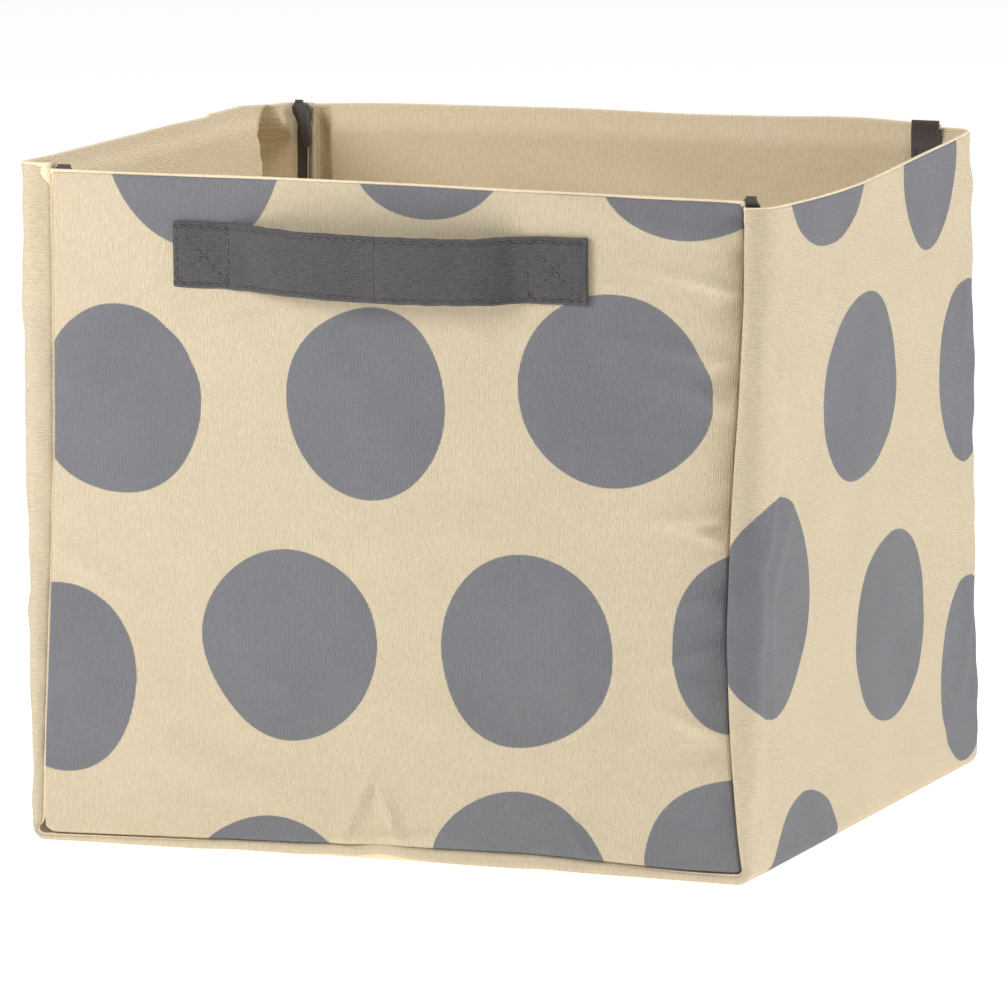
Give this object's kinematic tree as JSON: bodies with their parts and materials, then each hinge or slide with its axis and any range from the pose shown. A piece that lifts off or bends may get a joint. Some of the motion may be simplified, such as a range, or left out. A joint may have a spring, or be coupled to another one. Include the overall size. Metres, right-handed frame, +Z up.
{
  "type": "fabric storage bin",
  "caption": "Open square cloth storage bin with board-stiffened walls, large printed dots, tape-bound inner seams, a loose covered base board and a stitched strap handle.",
  "frame": {"origin": "centre of the base's underside, on the surface that the bin stands on", "axes": "+X to the right of the front panel, +Y towards the back panel, +Z up through the open top"},
  "size_m": [0.33, 0.3061, 0.2885],
  "materials": {
    "printed_cloth": "beige cotton twill with matte grey printed dots",
    "lining_cloth": "plain beige cotton, matte",
    "stiffening_board": "raw grey-brown stiffening board",
    "binding_tape": "dark grey twill tape, matte",
    "handle_cloth": "dark grey cotton canvas, matte",
    "thread": "grey sewing thread"
  },
  "bodies": {
    "bin": {"front_cover": "printed_cloth", "back_cover": "printed_cloth", "left_side_cover": "printed_cloth", "right_side_cover": "printed_cloth", "base_cover": "printed_cloth", "front_lining": "lining_cloth", "back_lining": "lining_cloth", "left_lining": "lining_cloth", "right_lining": "lining_cloth", "base_lining": "lining_cloth", "front_board": "stiffening_board", "back_board": "stiffening_board", "left_board": "stiffening_board", "right_board": "stiffening_board", "front_seam_binding": "binding_tape", "back_seam_binding": "binding_tape", "front_seam_stitching": "thread", "back_seam_stitching": "thread", "handle_left_end": "handle_cloth", "handle_left_ramp": "handle_cloth", "handle_right_ramp": "handle_cloth", "handle_right_end": "handle_cloth", "handle_left_stitching": "thread", "handle_right_stitching": "thread"},
    "handle": {"handle_span": "handle_cloth", "handle_span_stitching": "thread"},
    "base_insert": {"insert_board": "stiffening_board", "insert_bottom_cover": "lining_cloth", "insert_top_cover": "lining_cloth"}
  },
  "joints": [
    {"name": "handle_swing", "type": "hinge", "parent": "bin", "child": "handle", "pos_m": [0, -0.146, 0.2545], "axis": [-1, 0, 0], "range_deg": [-25, 30], "stiffness_Nm_per_rad": 0.02},
    {"name": "base_insert_lift", "type": "slide", "parent": "bin", "child": "base_insert", "axis": [0, 0, 1], "range_m": [0, 0.292]}
  ]
}
